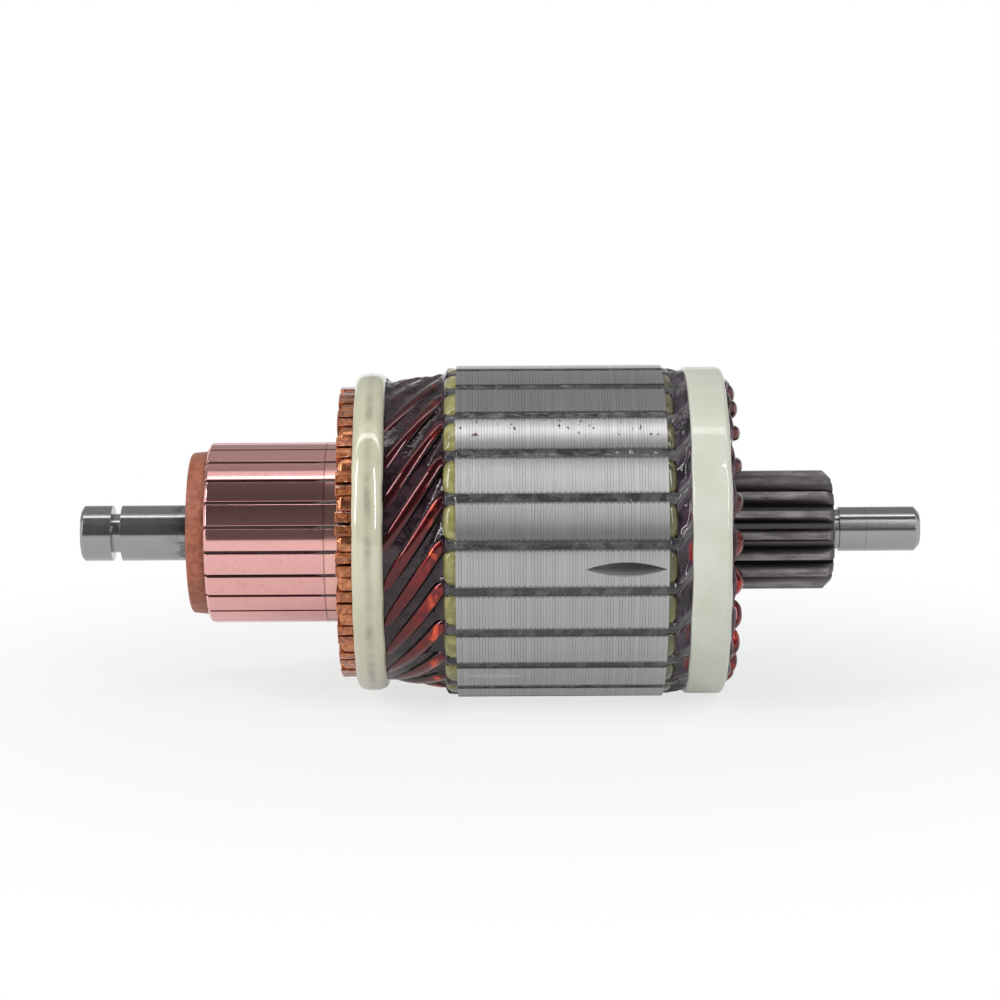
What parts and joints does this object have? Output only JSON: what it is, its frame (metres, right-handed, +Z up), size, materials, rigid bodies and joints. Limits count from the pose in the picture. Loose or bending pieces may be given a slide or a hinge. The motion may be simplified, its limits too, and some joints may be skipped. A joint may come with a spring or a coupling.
{
  "type": "motor armature",
  "caption": "Wound armature of a gear-reduction starter motor: slotted core, wave-wound coils, bar commutator, glass-cord bands and a shaft with an integral pinion.",
  "frame": {"origin": "on the shaft axis, halfway along the shaft", "axes": "+X along the shaft towards the pinion; +Z up, with one core slot pointing straight down"},
  "size_m": [0.1506, 0.0596, 0.0596],
  "materials": {
    "ground_steel": "ground journals, dark oiled pinion",
    "lamination_steel": "stacked laminations, turned outside",
    "end_insulation": "varnished fibre",
    "slot_paper": "insulating paper",
    "commutator_moulding": "moulded phenolic",
    "commutator_copper": "turned copper",
    "enamelled_wire": "red enamel under clear varnish",
    "glass_cord": "glass cord set in resin"
  },
  "bodies": {
    "root": {"shaft": "ground_steel", "core": "lamination_steel", "commutator_end_insulator": "end_insulation", "drive_end_insulator": "end_insulation", "slot_liners": "slot_paper", "commutator_hub": "commutator_moulding", "commutator_end_band": "glass_cord", "drive_end_band": "glass_cord", "bar_01": "commutator_copper", "bar_02": "commutator_copper", "bar_03": "commutator_copper", "bar_04": "commutator_copper", "bar_05": "commutator_copper", "bar_06": "commutator_copper", "bar_07": "commutator_copper", "bar_08": "commutator_copper", "bar_09": "commutator_copper", "bar_10": "commutator_copper", "bar_11": "commutator_copper", "bar_12": "commutator_copper", "bar_13": "commutator_copper", "bar_14": "commutator_copper", "bar_15": "commutator_copper", "bar_16": "commutator_copper", "bar_17": "commutator_copper", "bar_18": "commutator_copper", "bar_19": "commutator_copper", "bar_20": "commutator_copper", "bar_21": "commutator_copper", "bar_22": "commutator_copper", "bar_23": "commutator_copper", "hairpin_01": "enamelled_wire", "hairpin_02": "enamelled_wire", "hairpin_03": "enamelled_wire", "hairpin_04": "enamelled_wire", "hairpin_05": "enamelled_wire", "hairpin_06": "enamelled_wire", "hairpin_07": "enamelled_wire", "hairpin_08": "enamelled_wire", "hairpin_09": "enamelled_wire", "hairpin_10": "enamelled_wire", "hairpin_11": "enamelled_wire", "hairpin_12": "enamelled_wire", "hairpin_13": "enamelled_wire", "hairpin_14": "enamelled_wire", "hairpin_15": "enamelled_wire", "hairpin_16": "enamelled_wire", "hairpin_17": "enamelled_wire", "hairpin_18": "enamelled_wire", "hairpin_19": "enamelled_wire", "hairpin_20": "enamelled_wire", "hairpin_21": "enamelled_wire", "hairpin_22": "enamelled_wire", "hairpin_23": "enamelled_wire"}
  },
  "joints": []
}
